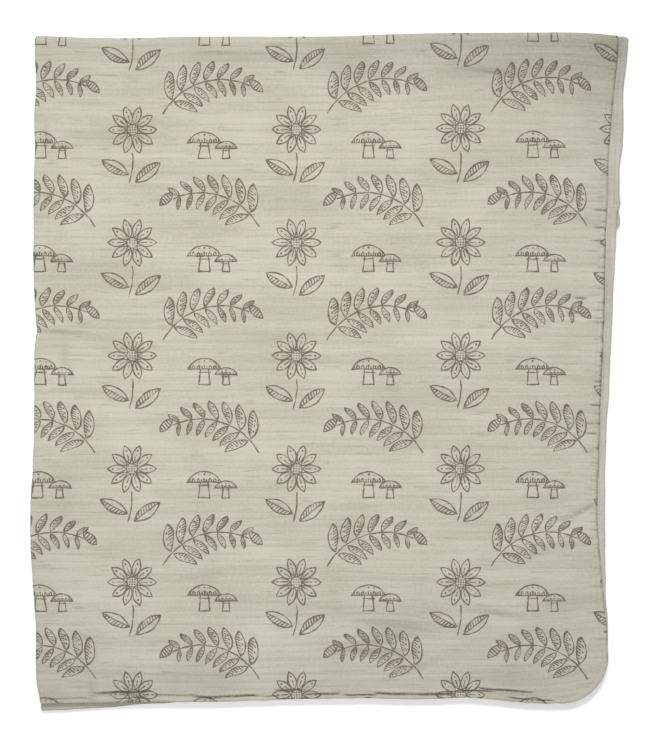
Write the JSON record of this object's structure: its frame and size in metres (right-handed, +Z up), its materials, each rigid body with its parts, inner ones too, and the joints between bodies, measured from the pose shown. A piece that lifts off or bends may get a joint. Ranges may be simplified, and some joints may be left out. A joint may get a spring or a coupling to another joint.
{
  "type": "folded muslin blanket",
  "caption": "Two-ply crinkled muslin blanket, printed outside and plain inside, folded in quarters and lying flat.",
  "frame": {"origin": "middle of the folded blanket's outline, on the surface that it lies on", "axes": "+X towards the sewn side hem, +Y towards the second fold, +Z up through the layers"},
  "size_m": [0.5416, 0.6138, 0.0181],
  "materials": {
    "printed_cotton": "matt crinkled cotton gauze in pale sage, printed with grey-brown line motifs",
    "plain_cotton": "matt crinkled cotton gauze in pale warm grey, unprinted"
  },
  "bodies": {
    "root": {"front_panel": "printed_cotton", "back_panel": "plain_cotton"}
  },
  "joints": []
}
